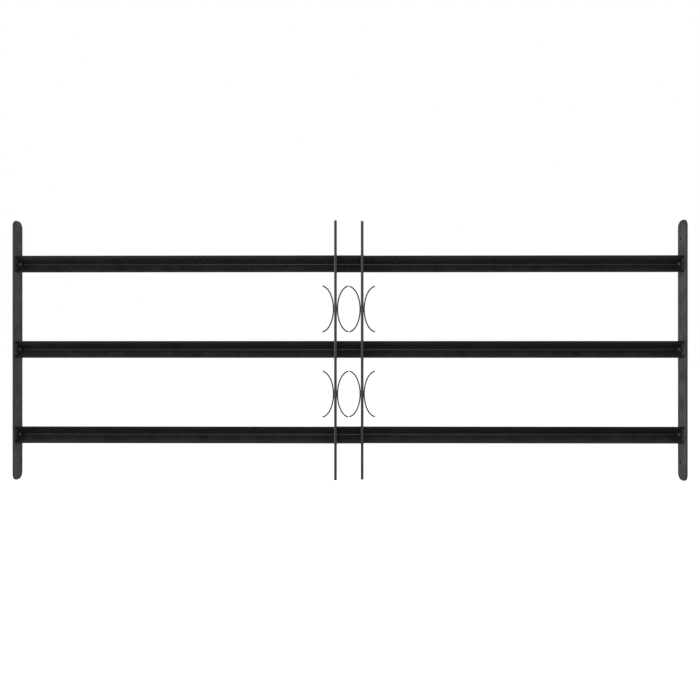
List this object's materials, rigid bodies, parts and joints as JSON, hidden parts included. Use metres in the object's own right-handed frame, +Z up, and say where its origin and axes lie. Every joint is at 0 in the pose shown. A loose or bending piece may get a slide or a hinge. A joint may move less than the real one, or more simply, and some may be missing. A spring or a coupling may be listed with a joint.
{
  "type": "window security bar",
  "caption": "Extending window grille: two welded halves of wall strip, nested angle bars and a tie rod with wire scrolls slide apart to span an opening.",
  "frame": {"origin": "middle of the left wall strip's wall face, halfway up and halfway front to back", "axes": "+X along the bars to the right wall strip, +Z up, -Y towards the open side of the angle bars"},
  "size_m": [1.158, 0.0379, 0.45],
  "materials": {
    "black_coat": "satin black powder coat",
    "screw_steel": "blackened steel"
  },
  "bodies": {
    "left_half": {"left_wall_strip": "black_coat", "front_angle_top": "black_coat", "front_angle_middle": "black_coat", "front_angle_bottom": "black_coat", "left_half_rod": "black_coat", "left_half_scroll_upper_left": "black_coat", "left_half_scroll_upper_right": "black_coat", "left_half_scroll_lower_left": "black_coat", "left_half_scroll_lower_right": "black_coat", "left_half_guide_top": "black_coat", "left_half_guide_middle": "black_coat", "left_half_guide_bottom": "black_coat"},
    "right_half": {"right_wall_strip": "black_coat", "rear_angle_top": "black_coat", "rear_angle_middle": "black_coat", "rear_angle_bottom": "black_coat", "right_half_rod": "black_coat", "right_half_scroll_upper_left": "black_coat", "right_half_scroll_upper_right": "black_coat", "right_half_scroll_lower_left": "black_coat", "right_half_scroll_lower_right": "black_coat", "right_half_guide_top": "black_coat", "right_half_guide_middle": "black_coat", "right_half_guide_bottom": "black_coat", "lock_nut_top": "black_coat", "lock_nut_middle": "black_coat", "lock_nut_bottom": "black_coat"},
    "lock_screw_top_body": {"lock_screw_top": "screw_steel"},
    "lock_screw_middle_body": {"lock_screw_middle": "screw_steel"},
    "lock_screw_bottom_body": {"lock_screw_bottom": "screw_steel"}
  },
  "joints": [
    {"name": "width_slide", "type": "slide", "parent": "left_half", "child": "right_half", "axis": [1, 0, 0], "range_m": [-0.52, 0]},
    {"name": "lock_screw_top_travel", "type": "slide", "parent": "right_half", "child": "lock_screw_top_body", "axis": [0, 1, 0], "range_m": [0, 0.004]},
    {"name": "lock_screw_middle_travel", "type": "slide", "parent": "right_half", "child": "lock_screw_middle_body", "axis": [0, 1, 0], "range_m": [0, 0.004]},
    {"name": "lock_screw_bottom_travel", "type": "slide", "parent": "right_half", "child": "lock_screw_bottom_body", "axis": [0, 1, 0], "range_m": [0, 0.004]}
  ]
}
